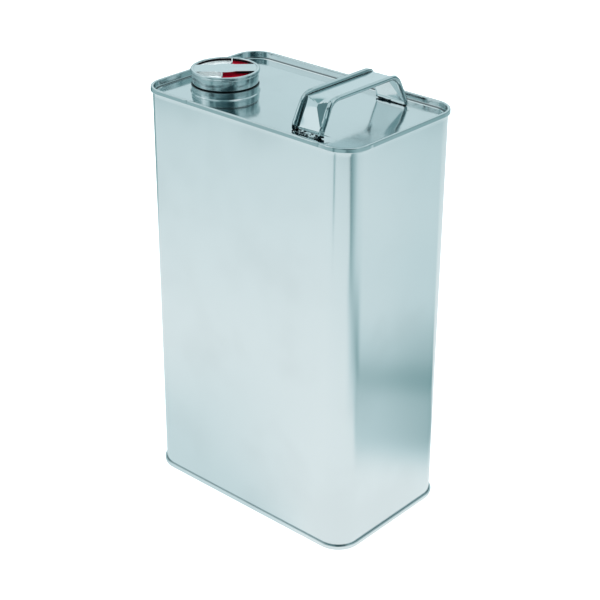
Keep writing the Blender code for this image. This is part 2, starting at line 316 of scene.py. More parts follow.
def foot_reach():
    """How far from the strap's middle its legs stand on the panel."""
    return half_wall()[1] - strap().margin - strap().tab


# Edit mode tools


def leave_edit_mode():
    if bpy.context.object and bpy.context.object.mode != "OBJECT":
        bpy.ops.object.mode_set(mode="OBJECT")


def deselect_all():
    leave_edit_mode()
    bpy.ops.object.select_all(action="DESELECT")


def activate(piece):
    deselect_all()
    piece.select_set(True)
    bpy.context.view_layer.objects.active = piece


def select_where(piece, test):
    """In edit mode, selects the vertices whose place passes a test."""
    mesh = bmesh.from_edit_mesh(piece.data)
    for vertex in mesh.verts:
        vertex.select = bool(test(vertex.co))
    mesh.select_flush_mode()
    mesh.select_flush(True)
    bmesh.update_edit_mesh(piece.data)


def draw_line(name, points):
    """Draws a row of joined points from a plane merged to one point, and leaves edit mode on."""
    deselect_all()
    bpy.ops.mesh.primitive_plane_add(size=seam_high.z)
    piece = bpy.context.object
    piece.name = piece.data.name = name
    bpy.ops.object.mode_set(mode="EDIT")
    bpy.ops.mesh.merge(type="CENTER")
    bpy.ops.transform.translate(value=points[0])
    for here, there in zip(points, points[1:]):
        run(there - here)
    bpy.ops.mesh.select_all(action="SELECT")
    return piece


def run(way, steps=1):
    """Extrudes what is selected along a straight way."""
    for _ in range(steps):
        bpy.ops.mesh.extrude_region_move(TRANSFORM_OT_translate={"value": Vector(way) / steps})


def bend(centre, axis, angle, steps):
    """Spins what is selected round an axis by the right-hand rule, and leaves the last row selected."""
    bpy.ops.mesh.spin(steps=steps, angle=-angle, center=centre, axis=axis)


def face_outwards():
    """Selects all faces and turns them one way, which is outwards on a closed shape."""
    bpy.ops.mesh.select_all(action="SELECT")
    bpy.ops.mesh.normals_make_consistent(inside=False)


def close_up():
    """Merges the doubles of a swept shape and turns its faces one way."""
    bpy.ops.mesh.select_all(action="SELECT")
    bpy.ops.mesh.remove_doubles(threshold=weld_distance)
    face_outwards()


def apply_modifier(piece, kind, **settings):
    """Adds a modifier with its settings and applies it."""
    activate(piece)
    step = piece.modifiers.new(kind.title(), kind)
    for name, value in settings.items():
        setattr(step, name, value)
    bpy.ops.object.modifier_apply(modifier=step.name)


def thicken(piece, thickness):
    apply_modifier(piece, "SOLIDIFY", thickness=thickness, offset=0, use_even_offset=True)


def cut_or_join(piece, form, operation):
    """Joins a helper form to a piece, or cuts it away, and removes the form."""
    apply_modifier(piece, "BOOLEAN", operation=operation, solver="EXACT", object=form)
    bpy.data.objects.remove(form, do_unlink=True)


def finish_piece(piece, node, body, material, sharp=35):
    """Shades a piece, gives it its finish and lets it stand for its node."""
    activate(piece)
    bpy.ops.object.shade_smooth_by_angle(angle=math.radians(sharp))
    piece.data.materials.clear()
    piece.data.materials.append(material)
    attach(piece, body)
    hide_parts(node)


def rounded(points, radii, steps):
    """An open path of 2D points whose inner corners are arcs; steps says how many pieces each arc has."""
    path = [Vector(points[0])]
    for corner, radius, pieces in zip(zip(points, points[1:], points[2:]), radii, steps):
        start, _, centre, angle = corner_arc(*corner, radius)
        path += arc_points(start, centre, angle, pieces)
    path.append(Vector(points[-1]))
    return path


def arc_points(start, centre, angle, pieces):
    """Points along a 2D arc, with both its ends."""
    return [centre + Matrix.Rotation(angle * k / pieces, 2) @ (start - centre) for k in range(pieces + 1)]


def with_rows(path, gap):
    """Adds a row next to each bend on the long straight stretches, which keeps their shading flat."""
    full = [path[0]]
    last = len(path) - 2
    for k, (here, there) in enumerate(zip(path, path[1:])):
        way = there - here
        if way.length > 4 * gap:
            full += [here + way.normalized() * gap] * (k > 0)
            full += [there - way.normalized() * gap] * (k < last)
        full.append(there)
    return full


def corner_arc(before, corner, after, radius):
    """Start, end, centre and signed turn of the arc that rounds a corner of a 2D path."""
    corner = Vector(corner)
    back = Vector(before) - corner
    ahead = Vector(after) - corner
    half_turn = (math.pi - back.angle(ahead)) / 2
    reach = min(radius * math.tan(half_turn), min(back.length, ahead.length) / 2)
    start = corner + back.normalized() * reach
    end = corner + ahead.normalized() * reach
    inward = (back.normalized() + ahead.normalized()).normalized()
    centre = corner + inward * (reach / math.sin(half_turn))
    left = back.x * ahead.y - back.y * ahead.x < 0
    return start, end, centre, 2 * half_turn if left else -2 * half_turn


# Finishes, written as sums on sockets


class Level:
    """A number or colour that a node gives. Sums on it add Math nodes."""

    def __init__(self, maker, socket):
        self.maker = maker
        self.socket = socket

    def sum(self, operation, first, second):
        return self.maker.node("ShaderNodeMath", {"operation": operation}, [first, second])

    def __add__(self, other):
        return self.sum("ADD", self, other)

    def __radd__(self, other):
        return self.sum("ADD", other, self)

    def __sub__(self, other):
        return self.sum("SUBTRACT", self, other)

    def __rsub__(self, other):
        return self.sum("SUBTRACT", other, self)

    def __mul__(self, other):
        return self.sum("MULTIPLY", self, other)

    def __rmul__(self, other):
        return self.sum("MULTIPLY", other, self)

    def __pow__(self, other):
        return self.sum("POWER", self, other)

    def __gt__(self, other):
        return self.sum("GREATER_THAN", self, other)

    def __lt__(self, other):
        return self.sum("LESS_THAN", self, other)

    def high(self, other):
        return self.sum("MAXIMUM", self, other)

    def size(self):
        return self.maker.node("ShaderNodeMath", {"operation": "ABSOLUTE"}, [self])

    def fade(self, low, high):
        """0 at the low value, 1 at the high one and smooth between them; either may be the larger."""
        inputs = {"Value": self, "From Min": low, "From Max": high}
        return self.maker.node("ShaderNodeMapRange", {"interpolation_type": "SMOOTHSTEP"}, inputs)


class NodeMaker:
    """Adds nodes to one tree."""

    def __init__(self, tree):
        self.tree = tree
        tree.nodes.clear()

    def node(self, kind, settings=None, inputs=(), output=0):
        """Adds a node of a kind, sets it up, feeds its inputs and gives one of its outputs."""
        made = self.tree.nodes.new(kind)
        for name, value in (settings or {}).items():
            if name == "stops":
                self.set_stops(made.color_ramp.elements, value)
            else:
                setattr(made, name, value)
        pairs = inputs.items() if isinstance(inputs, dict) else enumerate(inputs)
        for key, value in pairs:
            if isinstance(value, Level):
                self.tree.links.new(value.socket, made.inputs[key])
            else:
                made.inputs[key].default_value = value
        return Level(self, made.outputs[output]) if made.outputs else made

    @staticmethod
    def set_stops(elements, stops):
        while len(elements) < len(stops):
            elements.new(1.0)
        for element, (place, shade) in zip(elements, stops):
            element.position = place
            element.color = solid(shade)

    def place(self, scale=(1, 1, 1)):
        """Object coordinates, scaled."""
        found = self.node("ShaderNodeTexCoord", output="Object")
        return self.node("ShaderNodeMapping", {}, {"Vector": found, "Scale": scale})

    def split(self, vector):
        """The three numbers of a vector."""
        found = self.node("ShaderNodeSeparateXYZ", {}, [vector])
        return [Level(self, found.socket.node.outputs[k]) for k in range(3)]

    def noise(self, vector, scale, detail=2.0, roughness=0.5):
        inputs = {"Vector": vector, "Scale": scale, "Detail": detail, "Roughness": roughness}
        return self.node("ShaderNodeTexNoise", {}, inputs)

    def mix(self, share, first, second):
        """A colour between two others."""
        inputs = {0: share, 6: first, 7: second}
        return self.node("ShaderNodeMix", {"data_type": "RGBA"}, inputs, output=2)

    def bump(self, height, distance, normal=None):
        inputs = {"Height": height, "Distance": distance, "Strength": 1.0}
        if normal:
            inputs["Normal"] = normal
        return self.node("ShaderNodeBump", {}, inputs)


def solid(shade, share=1.0):
    """A colour, or a share of it, as a socket takes it."""
    return (*(part * share for part in shade), 1.0)


def new_finish(name):
    """A material with an empty tree, and what adds its nodes."""
    found = bpy.data.materials.new(name)
    found.use_nodes = True
    return found, NodeMaker(found.node_tree)


def show(maker, inputs):
    """Adds the shader with its inputs, and the output."""
    shader = maker.node("ShaderNodeBsdfPrincipled", {}, inputs)
    maker.node("ShaderNodeOutputMaterial", {}, {"Surface": shader})


def from_neck(maker, at):
    """A place measured from the neck's axis: its x and y, its height and its radius."""
    x, y, z = maker.split(at)
    middle_x, middle_y = neck_middle()
    x, y = x - middle_x, y - middle_y
    return x, y, z, (x * x + y * y) ** 0.5


def valley_painted_shade(maker):
    """1 in the valley between an end's chuck wall and its panel: a painted shade line in the crease."""
    sizes = tin()
    x, y, z = maker.split(maker.place())
    half_x, half_y = half_straight()
    over_x = (x.size() - half_x).high(0.0)
    over_y = (y.size() - half_y).high(0.0)
    inside = sizes.corner_radius - (over_x * over_x + over_y * over_y) ** 0.5
    level = (z - can_height() / 2).size()
    panel_level = can_height() / 2 - sizes.panel_depth
    valley = 2 * sizes.sheet + sizes.fold_gap + sizes.valley_width
    low_down = level.fade(panel_level + 0.0009, panel_level + 0.0005)
    return low_down * inside.fade(valley - 0.0001, valley - 0.0004)


def side_weld(maker):
    """1 on the thin weld line of the side seam, and a little on the heated strip beside it."""
    x, y, _ = maker.split(maker.place())
    line = y.size().fade(0.0006, 0.0002)
    strip = y.size().fade(0.0034, 0.0026) * 0.35
    left_side = x.fade(-0.07, -0.08)
    return line.high(strip) * left_side


def rolled_tinplate(name, shade, roughness, grain_scale, dull, weld_and_shade):
    """Rolled tinplate: fine grain along the rolling direction, cloudy gloss, and dark where the mask is 1:
    weld marks, and painted shade in creases.
    """
    found, maker = new_finish(name)
    grain = maker.noise(maker.place(grain_scale), 1.0, detail=4.0, roughness=0.6)
    clouds = maker.noise(maker.place(), 18.0, detail=3.0)
    specks = maker.noise(maker.place(), 900.0, detail=2.0)
    worn = clouds.fade(0.42, 0.72)
    light = maker.mix(worn * 0.5 + grain * 0.12, solid(shade), solid(shade, 0.93))
    rough = roughness + worn * dull + (grain - 0.5) * 0.05 + (specks - 0.5) * 0.02
    # Near black where the mask is 1: the side seam's weld on the wall, painted shade in the ends' valleys
    light = maker.mix(weld_and_shade(maker) * 0.7, light, solid(finishes().scorch_and_shade))
    fine = maker.bump(grain, 0.0000012)
    waves = maker.bump(maker.noise(maker.place(), 26.0, detail=1.0), 0.00006, fine)
    show(maker, {"Base Color": light, "Metallic": 1.0, "Roughness": rough, "Normal": waves})
    return found


# Noise scales of the fine lines that run round a drawn piece, and along the strap
round_lines = (60, 60, 2400)
strap_lines = (1600, 18, 18)


def bright_metal(maker, at, grain_scale, roughness, dark=None):
    """Bright drawn tinplate: mirror gloss with faint draw lines. dark is 1 on scorched welds and on painted
    shade.
    """
    colours = finishes()
    grain = maker.noise(maker.place(grain_scale), 1.0, detail=3.0, roughness=0.6)
    clouds = maker.noise(at, 90.0, detail=2.0)
    shade = colours.bright_tinplate
    light = maker.mix(clouds.fade(0.45, 0.75) * 0.6, solid(shade), solid(shade, 0.92))
    rough = roughness + grain * 0.05 + clouds.fade(0.5, 0.8) * 0.04
    if dark:
        light = maker.mix(dark, light, solid(colours.scorch_and_shade))
        rough = rough + dark * 0.25
    fine = maker.bump(grain, 0.0000015)
    return {"Base Color": light, "Metallic": 1.0, "Roughness": rough, "Normal": fine}


def neck_finish():
    """Bright metal with painted shade on the bead's shoulder, in the gap under the cap's edge."""
    found, maker = new_finish("neck_metal")
    at = maker.place()
    _, _, z, radius = from_neck(maker, at)
    shoulder = panel_z() + neck().bead_top
    skirt = cap().skirt_radius
    # Painted shade: a dark band on the bead's shoulder, under the cap's edge
    gap_painted_shade = z.fade(shoulder - 0.0006, shoulder - 0.0003) * z.fade(shoulder + 0.0016, shoulder + 0.0010)
    dark = gap_painted_shade * radius.fade(skirt + 0.0006, skirt + 0.0003) * 0.92
    show(maker, bright_metal(maker, at, round_lines, finishes().cap_roughness, dark))
    return found


def strap_finish():
    """Bright metal, scorched on its tabs where they are spot-welded, with painted shade at the curls' feet
    and along the back foot.
    """
    found, maker = new_finish("strap_metal")
    at = maker.place()
    middle = strap_middle()
    x, y, z = maker.split(at)
    foot = foot_reach()
    half_width = strap().width / 2
    away = (y - middle.y).size()
    spots = maker.noise(at, 420.0, detail=3.0, roughness=0.7)
    curls = (x - middle.x).size().fade(half_width - 0.0030, half_width - 0.0026)

    # Painted shade at the feet: it reaches higher on the strap's left half, and less high at its back foot,
    # where it spans the whole width
    reach = 0.0020
    back = y > middle.y
    height = (reach + (x < middle.x) * reach) * (1.0 - back * 0.7) + (spots - 0.5) * reach
    foot_painted_shade = (z - middle.z).fade(height + 0.0004, height)
    whole_back = back * away.fade(foot + 0.0006, foot + 0.0002)
    on_tab = z.fade(middle.z + 0.0018, middle.z + 0.0014) * away.fade(foot, foot + 0.0003)
    # Painted shade at the feet, and scorched spot welds on the tabs
    dark = (foot_painted_shade * curls.high(whole_back)).high(on_tab * spots.fade(0.47, 0.52))
    show(maker, bright_metal(maker, at, strap_lines, finishes().strap_roughness, dark))
    return found


def cap_finish():
    """The cap's bright metal, with plain red and white lacquered fields on its sunk floors."""
    colours = finishes()
    sizes = cap()
    found, maker = new_finish("cap_metal_and_lacquer")
    at = maker.place()
    x, y, z, radius = from_neck(maker, at)
    floor_z = cap_high.z - sizes.recess_depth
    bar_z = cap_high.z - sizes.bar_sink
    leaned = sizes.bar_turn + sizes.field_turn
    across = x * math.cos(leaned) + y * math.sin(leaned)
    soft = 0.00005
    recess, gap = sizes.recess_radius, sizes.field_gap / 2
    sunk = z.fade(bar_z - soft, bar_z - 3 * soft) * radius.fade(recess + 4 * soft, recess)
    painted = sunk * across.size().fade(gap, gap + soft)
    red_side = across.fade(0.0, soft)
    clouds = maker.noise(at, 120.0, detail=2.0)
    tint = clouds.fade(0.3, 0.8)
    red = maker.mix(tint, solid(colours.lacquer), solid(colours.lacquer, 0.8))
    white = maker.mix(tint, solid(colours.pale_lacquer), solid(colours.pale_lacquer, 0.95))

    # Painted shade: a dark line runs round the fields on the upper part of their walls
    upper = z.fade(floor_z + sizes.recess_depth * 0.28, floor_z + sizes.recess_depth * 0.38)
    rim_wall = radius.fade(recess - 4 * soft, recess - 2 * soft)
    line = upper * rim_wall.high(red_side * across.fade(0.004, 0.010))
    lacquer = {
        "Base Color": maker.mix(line, maker.mix(red_side, white, red), solid(colours.painted_shade_line)),
        "Specular IOR Level": 0.1,
        "Roughness": 0.45 + clouds * 0.1,
    }
    bare = bright_metal(maker, at, round_lines, colours.cap_roughness)
    metal = maker.node("ShaderNodeBsdfPrincipled", {}, bare)
    paint = maker.node("ShaderNodeBsdfPrincipled", {}, lacquer)
    shader = maker.node("ShaderNodeMixShader", {}, [painted, metal, paint])
    maker.node("ShaderNodeOutputMaterial", {}, {"Surface": shader})
    return found


def soft_finish(name, shade, roughness, depth):
    """Rubbery compound or foamed liner: matt, speckled and slightly uneven."""
    found, maker = new_finish(name)
    speck = maker.noise(maker.place(), 2600.0, detail=3.0)
    patch = maker.noise(maker.place(), 160.0, detail=2.0)
    light = maker.mix(speck * 0.5 + patch * 0.3, solid(shade), solid(shade, 0.7))
    rough = roughness + speck * 0.1
    show(maker, {"Base Color": light, "Roughness": rough, "Normal": maker.bump(speck + patch, depth)})
    return found


# The wall and the two ends


def round_the_can(stations_long, stations_short):
    """Sweeps the selected profile once round the can, from the front next to the right-hand corner."""
    half_x, half_y = half_straight()
    corners = [(half_x, -half_y), (half_x, half_y), (-half_x, half_y), (-half_x, -half_y)]
    ways = [Vector((0, 1, 0)), Vector((-1, 0, 0)), Vector((0, -1, 0)), Vector((1, 0, 0))]
    for (x, y), way, stations in zip(corners, ways, [stations_short, stations_long] * 2):
        bend((x, y, 0), (0, 0, 1), full_turn / 4, tin().corner_steps)
        for here, there in zip(stations, stations[1:]):
            run(way * (there - here))


def even_stations(half, steps):
    return [half * (2 * k / steps - 1) for k in range(steps + 1)]


def stations_with(half, steps, extra):
    """Stations from -half to half: the extra ones, and the even ones that don't crowd them."""
    crowded = 1e-4
    even = [place for place in even_stations(half, steps) if all(abs(place - e) > crowded for e in extra)]
    return sorted(even + [e for e in extra if -half < e < half])


def profile_at_front(path):
    """Points of an offset and height path, placed on the front side next to the right-hand corner."""
    x, y = half_straight()[0], -half_wall()[1]
    return [Vector((x, y - point.x, point.y)) for point in path]


def wall_path():
    """Mid-thickness path of the wall from hook to hook, as offset from the outer face and height."""
    sizes = tin()
    half = sizes.sheet / 2
    hook = 2 * sizes.fold_gap + 3 * half
    crown_drop = sizes.sheet + 2 * sizes.fold_gap + sizes.compound + half
    tip = sizes.seam_height - sizes.sheet - sizes.fold_gap
    points = [(hook, tip), (hook, crown_drop), (-half, crown_drop), (-half, can_height() / 2)]
    low = rounded(points, [sizes.fold_radius] * 2, [3, 3])[:-1]
    high = [Vector((point.x, can_height() - point.y)) for point in reversed(low)]
    bottom, rise = low[-1].y, high[0].y - low[-1].y
    rows = [Vector((-half, bottom + rise * k / sizes.high_steps)) for k in range(1, sizes.high_steps)]
    return low + rows + high


def swell(share):
    """1 in the middle of a side, 0 at its ends, with flat ends."""
    return math.cos(math.pi * min(1, abs(share)) / 2) ** 2


def stand_out(bow, share, at):
    """How far a side stands out at a place: its swell, and the shallow waves that cross it."""
    x, y, z = at
    across, upright = swell(share), swell(2 * z / can_height() - 1)
    wave = math.sin(31 * x + 17 * z + 2) + math.sin(43 * y - 23 * z) + math.sin(61 * z + 12 * x - 9 * y)
    return bow * across * upright + tin().wall_wave * wave * upright * across ** 0.5


def bow_wall(piece):
    """Swells the broad sides, the narrow ones a third as much, and raises the side seam's lap."""
    sizes = tin()
    half_x, half_y = half_straight()
    lap_end = 2 * sizes.seam_height + sizes.lap_width
    for vertex in piece.data.vertices:
        x, y, z = vertex.co
        if abs(x) < half_x and abs(y) > half_y:
            vertex.co.y += math.copysign(stand_out(sizes.wall_bow, x / half_x, vertex.co), y)
        elif abs(y) < half_y and abs(x) > half_x:
            out = stand_out(sizes.wall_bow / 3, y / half_y, vertex.co)
            if x < 0 and abs(y) < sizes.lap_width / 2 and lap_end < z < can_height() - lap_end:
                out += sizes.lap_rise
            vertex.co.x += math.copysign(out, x)


class TIN_OT_wall(bpy.types.Operator):
    """Sweeps the wall's profile round the can, with its hooks and its lapped side seam"""

    bl_idname = "tin.wall"
    bl_label = "Wall"

    def execute(self, context):
        sizes = tin()
        half_x, half_y = half_straight()
        step = 0.0001
        lap = [side * (sizes.lap_width / 2 + edge) for side in (-1, 1) for edge in (-step, step)]
        piece = draw_line("body_wall_shell", profile_at_front(wall_path()))
        round_the_can(
            even_stations(half_x, sizes.long_steps),
            stations_with(half_y, sizes.short_steps, lap),
        )
        close_up()
        leave_edit_mode()
        bow_wall(piece)
        thicken(piece, sizes.sheet)
        colours = finishes()
        gloss, grain = colours.wall_roughness, (1400, 1400, 9)
        finish = rolled_tinplate("wall_tinplate", colours.tinplate, gloss, grain, 0.05, side_weld)
        finish_piece(piece, "body_wall", "tin", finish)
        return {"FINISHED"}


def end_path():
    """Mid-thickness path of an end from its hook to its panel, as offset and depth below the crown."""
    sizes = tin()
    half = sizes.sheet / 2
    chuck = -sizes.sheet - sizes.fold_gap - half
    hook = sizes.fold_gap + half
    outer = seam_overhang() - half
    hook_drop = 2 * sizes.sheet + sizes.compound + 3 * sizes.fold_gap
    panel = -sizes.panel_depth - half
    bead = chuck - sizes.valley_width
    points = [
        (hook, -hook_drop),
        (hook, half - sizes.seam_height),
        (outer, half - sizes.seam_height),
        (outer - sizes.seam_lean, -half),
        (chuck, -half),
        (chuck, panel),
        (bead, panel),
        (bead - sizes.panel_bead / 2, panel + sizes.bead_height),
        (bead - sizes.panel_bead, panel),
        (chuck - sizes.panel_inset, panel),
    ]
    fold, crown, foot = sizes.fold_radius, sizes.crown_radius, sizes.panel_radius
    radii = [fold, fold, crown, crown, foot, foot, foot, foot]
    return with_rows(rounded(points, radii, [3, 3, 6, 6, 4, 3, 4, 3]), sizes.sheet)


def inside_wall(at):
    """How far inside the wall's outer face a place near the rim lies."""
    half_x, half_y = half_straight()
    return tin().corner_radius - math.hypot(max(0, abs(at.x) - half_x), max(0, abs(at.y) - half_y))


def nick_seam(piece, nicks):
    """Presses small upright dents into the seam's outer face at the given places along the sides."""
    sizes = tin()
    half_long, half_short = half_wall()
    outer = (seam_overhang() - sizes.sheet) * 0.8
    near = sizes.nick_width / 4
    for vertex in piece.data.vertices:
        x, y, _ = vertex.co
        for side, place in nicks:
            if side == "front" and -y > half_short + outer and abs(x - place) < near:
                vertex.co.y += sizes.nick_depth
            if side == "right" and x > half_long + outer and abs(y - place) < near:
                vertex.co.x -= sizes.nick_depth


def make_end(name, crown, way, nicks):
    """An end: sunk panel, chuck wall and seam. way is 1 for the top and -1 for the bottom."""
    sizes = tin()
    half_x, half_y = half_straight()
    path = [Vector((point.x, crown + way * point.y)) for point in end_path()]
    piece = draw_line(name, profile_at_front(path))

    # Each dent gets a row at its middle and at both its ends
    spread = (-sizes.nick_width / 2, 0.0, sizes.nick_width / 2)
    long_extra = [place + d for side, place in nicks if side == "front" for d in spread]
    short_extra = [place + d for side, place in nicks if side == "right" for d in spread]
    round_the_can(
        stations_with(half_x, sizes.long_steps // 2, long_extra),
        stations_with(half_y, sizes.short_steps // 2, short_extra),
    )
    close_up()
    select_where(piece, lambda at: inside_wall(at) > -path[-1].x - weld_distance)
    bpy.ops.mesh.edge_face_add()
    for _ in range(sizes.panel_rings):
        bpy.ops.mesh.inset(thickness=sizes.panel_ring, depth=sizes.panel_dome)
    face_outwards()
    leave_edit_mode()
    nick_seam(piece, nicks)
    thicken(piece, sizes.sheet)
    return piece


class TIN_OT_ends(bpy.types.Operator):
    """Sweeps the two seamed ends, and cuts the neck's hole into the top one"""

    bl_idname = "tin.ends"
    bl_label = "Ends"

    def execute(self, context):
        colours = finishes()
        gloss, grain = colours.end_roughness, (9, 1400, 1400)
        finish = rolled_tinplate("end_tinplate", colours.tinplate, gloss, grain, 0.03, valley_painted_shade)
        # The seaming roll's dents: the side of the can, and the place along it
        nicks = [("front", -0.0442), ("front", 0.0627), ("right", -0.0312)]
        top = make_end("top_end_shell", can_height(), 1, nicks)
        middle_x, middle_y = neck_middle()
        deselect_all()
        bpy.ops.mesh.primitive_cylinder_add(
            vertices=neck().round_steps,
            radius=neck().radius + neck().clearance,
            depth=2 * tin().panel_depth,
            location=(middle_x, middle_y, panel_z()),
        )
        cut_or_join(top, bpy.context.object, "DIFFERENCE")
        finish_piece(top, "top_end", "tin", finish)
        bottom = make_end("bottom_end_shell", 0, -1, [])
        finish_piece(bottom, "bottom_end", "tin", finish)
        return {"FINISHED"}


# The neck and the cap


def turned_sheet(name, path):
    """Spins a path of radius and height above the panel round the neck's axis."""
    middle_x, middle_y = neck_middle()
    points = [Vector((middle_x + point.x, middle_y, panel_z() + point.y)) for point in path]
    piece = draw_line(name, points)
    bend((middle_x, middle_y, 0), (0, 0, 1), full_turn, neck().round_steps)
    close_up()
    leave_edit_mode()
    return piece


def thread_form(wall_radius, outward, floor, shift):
    """A right-hand helical ridge on a round wall, from above a floor to just under the neck's lip."""
    sizes = neck()
    half, crest_half = sizes.thread_base / 2, sizes.thread_crest / 2
    first = floor + sizes.clearance + half
    climb = neck_height() - sizes.thread_lip_gap - half - first
    foot = wall_radius - outward * sizes.thread_root
    crest = wall_radius + outward * (sizes.thread_depth - sizes.thread_root / 2)
    middle_x, middle_y = neck_middle()
    section = [(foot, -half), (crest, -crest_half), (crest, crest_half), (foot, half)]
    start = full_turn * (first - shift) / sizes.thread_lead
    turned = Matrix.Rotation(start, 3, "Z")
    points = [turned @ Vector((r, 0, first + z)) for r, z in section]
    form = draw_line("thread_form", points)
    bpy.ops.mesh.edge_face_add()
    turns = climb / sizes.thread_lead
    steps = round(sizes.thread_steps * turns)
    apply_modifier(
        form, "SCREW", angle=full_turn * turns, screw_offset=climb, steps=steps, render_steps=steps,
        use_merge_vertices=True, merge_threshold=weld_distance,
    )
    bpy.ops.object.mode_set(mode="EDIT")
    bpy.ops.mesh.select_all(action="SELECT")
    bpy.ops.mesh.remove_doubles(threshold=weld_distance)
    bpy.ops.mesh.fill_holes(sides=len(section))
    face_outwards()
    bpy.ops.transform.translate(value=(middle_x, middle_y, panel_z()))
    leave_edit_mode()
    return form


class TIN_OT_neck(bpy.types.Operator):
    """Turns the filler neck with its clinch, base bead, thread and curled lip"""

    bl_idname = "tin.neck"
    bl_label = "Filler neck"

    def execute(self, context):
        sizes = neck()
        half = sizes.sheet / 2
        tube = sizes.radius - half
        bead = tube + sizes.bead_swell
        clinch = -tin().sheet - sizes.clearance - half
        bead_low = 2 * sizes.clearance + sizes.gasket + half
        top = neck_height() - half
        points = [
            (tube + sizes.flange, clinch),
            (tube, clinch),
            (tube, bead_low),
            (bead, bead_low),
            (bead, sizes.bead_top - half),
            (tube, sizes.bead_top - half),
            (tube, top),
            (tube - sizes.lip, top),
            (tube - sizes.lip, top - sizes.lip_drop),
        ]
        small = sizes.sheet
        radii = [small, small, sizes.bead_round, sizes.shoulder_round, small, small, small]
        path = with_rows(rounded(points, radii, [3, 3, 8, 8, 3, 4, 4]), sizes.sheet / 2)
        piece = turned_sheet("filler_neck_shell", path)
        thicken(piece, sizes.sheet)
        hem_radius = sizes.radius + sizes.bead_swell - sizes.hem / 2
        line = [
            Vector((hem_radius + sizes.hem_flare, sizes.clearance)),
            Vector((hem_radius, sizes.clearance + sizes.hem_flare)),
            Vector((hem_radius, bead_low + sizes.bead_round)),
        ]
        hem = turned_sheet("hem_form", line)
        thicken(hem, sizes.hem)
        cut_or_join(piece, hem, "UNION")
        cut_or_join(piece, thread_form(sizes.radius, 1, sizes.bead_top, 0), "UNION")
        finish_piece(piece, "filler_neck", "tin", neck_finish())
        return {"FINISHED"}


def bar_side(inset, reach):
    """The grip bar's left side seen from above, from one end to the other, round its oval boss."""
    sizes = cap()
    half = sizes.bar_half_width - inset
    wide = half + sizes.boss_swell
    long = sizes.boss_half_length - inset
    start = math.asin(half / wide)
    boss_steps = 24
    boss = [start + (math.pi - 2 * start) * k / boss_steps for k in range(boss_steps + 1)]
    end = math.sqrt(reach**2 - half**2)
    return [(end, half), *((long * math.cos(a), wide * math.sin(a)) for a in boss), (-end, half)]


def prism(name, outline, low, high):
    """A closed outline round the neck's axis, turned to the bar and extruded upwards, in edit mode."""
    middle_x, middle_y = neck_middle()
    turned = Matrix.Rotation(cap().bar_turn, 3, "Z")
    base = Vector((middle_x, middle_y, panel_z() + low))
    form = draw_line(name, [turned @ Vector((x, y, 0)) + base for x, y in outline])
    bpy.ops.mesh.edge_face_add()
    run((0, 0, high - low))
    face_outwards()
    return form


def moon_form(side, floor, high):
    """The half-moon space between the bar's side and the rim, with a rounded floor edge."""
    sizes = cap()
    reach = sizes.recess_radius
    edge = bar_side(0, reach)
    end = math.asin(sizes.bar_half_width / reach)
    arc_steps = 56
    arc = [math.pi - end - (math.pi - 2 * end) * k / arc_steps for k in range(1, arc_steps)]
    outline = edge + [(reach * math.cos(a), reach * math.sin(a)) for a in arc]
    form = prism("moon_form", [(side * x, side * y) for x, y in outline], floor, high)
    select_where(form, lambda at: at.z < panel_z() + floor + weld_distance)
    bpy.ops.mesh.bevel(offset=sizes.sheet, segments=3, affect="EDGES")
    leave_edit_mode()
    return form


class TIN_OT_cap(bpy.types.Operator):
    """Turns the screw cap, sinks its half-moons beside the grip bar and hollows it out"""

    bl_idname = "tin.cap"
    bl_label = "Screw cap"

    def execute(self, context):
        sizes = cap()
        top = cap_high.z - panel_z()
        floor = top - sizes.recess_depth
        bar_top = top - sizes.bar_sink
        rim = cap_high.x - neck_middle()[0]
        rim_low = top - sizes.rim_height
        skirt = sizes.skirt_radius
        ledge = sizes.recess_radius + sizes.sheet
        points = [
            (0, bar_top),
            (ledge, bar_top),
            (ledge, top),
            (rim, top),
            (rim, rim_low),
            (skirt - sizes.barrel, rim_low - sizes.rim_step),
            (skirt + sizes.barrel, (rim_low + sizes.skirt_bottom) / 2),
            (skirt - sizes.barrel, sizes.skirt_bottom),
            (0, sizes.skirt_bottom),
        ]
        crest = sizes.bar_sink / 2
        radii = [crest, crest, sizes.rim_round, sizes.rim_round / 2, sizes.rim_step, 1.0, sizes.sheet / 3]
        path = with_rows(rounded(points, radii, [2, 3, 8, 4, 3, 10, 2]), sizes.sheet / 2)
        piece = turned_sheet("screw_cap_shell", path)
        for side in (1, -1):
            cut_or_join(piece, moon_form(side, floor, top), "DIFFERENCE")

        # The hollow under the sheet: a turned cavity, and the bar's inside above it
        sheet = sizes.sheet
        inner_floor = floor - sheet
        overrun = sheet * 4
        cavity = [
            (0, inner_floor),
            (ledge, inner_floor),
            (ledge, top - 2 * sheet),
            (rim - sheet, top - 2 * sheet),
            (rim - sheet, rim_low),
            (skirt - sheet, rim_low - sizes.rim_step),
            (skirt - sheet, sizes.skirt_bottom - overrun),
            (0, sizes.skirt_bottom - overrun),
        ]
        path = with_rows(rounded(cavity, [sheet] * 6, [2, 2, 4, 2, 2, 1]), sheet / 2)
        cut_or_join(piece, turned_sheet("cavity_form", path), "DIFFERENCE")
        side = bar_side(sheet, sizes.recess_radius - sheet)
        outline = side + [(-x, -y) for x, y in side]
        hollow = prism("hollow_form", outline, inner_floor - overrun, bar_top - sheet)
        cut_or_join(piece, hollow, "DIFFERENCE")
        thread = thread_form(skirt - sheet, -1, sizes.skirt_bottom, neck().thread_lead / 2)
        cut_or_join(piece, thread, "UNION")
        finish_piece(piece, "screw_cap", "cap", cap_finish())
        return {"FINISHED"}


# The strap


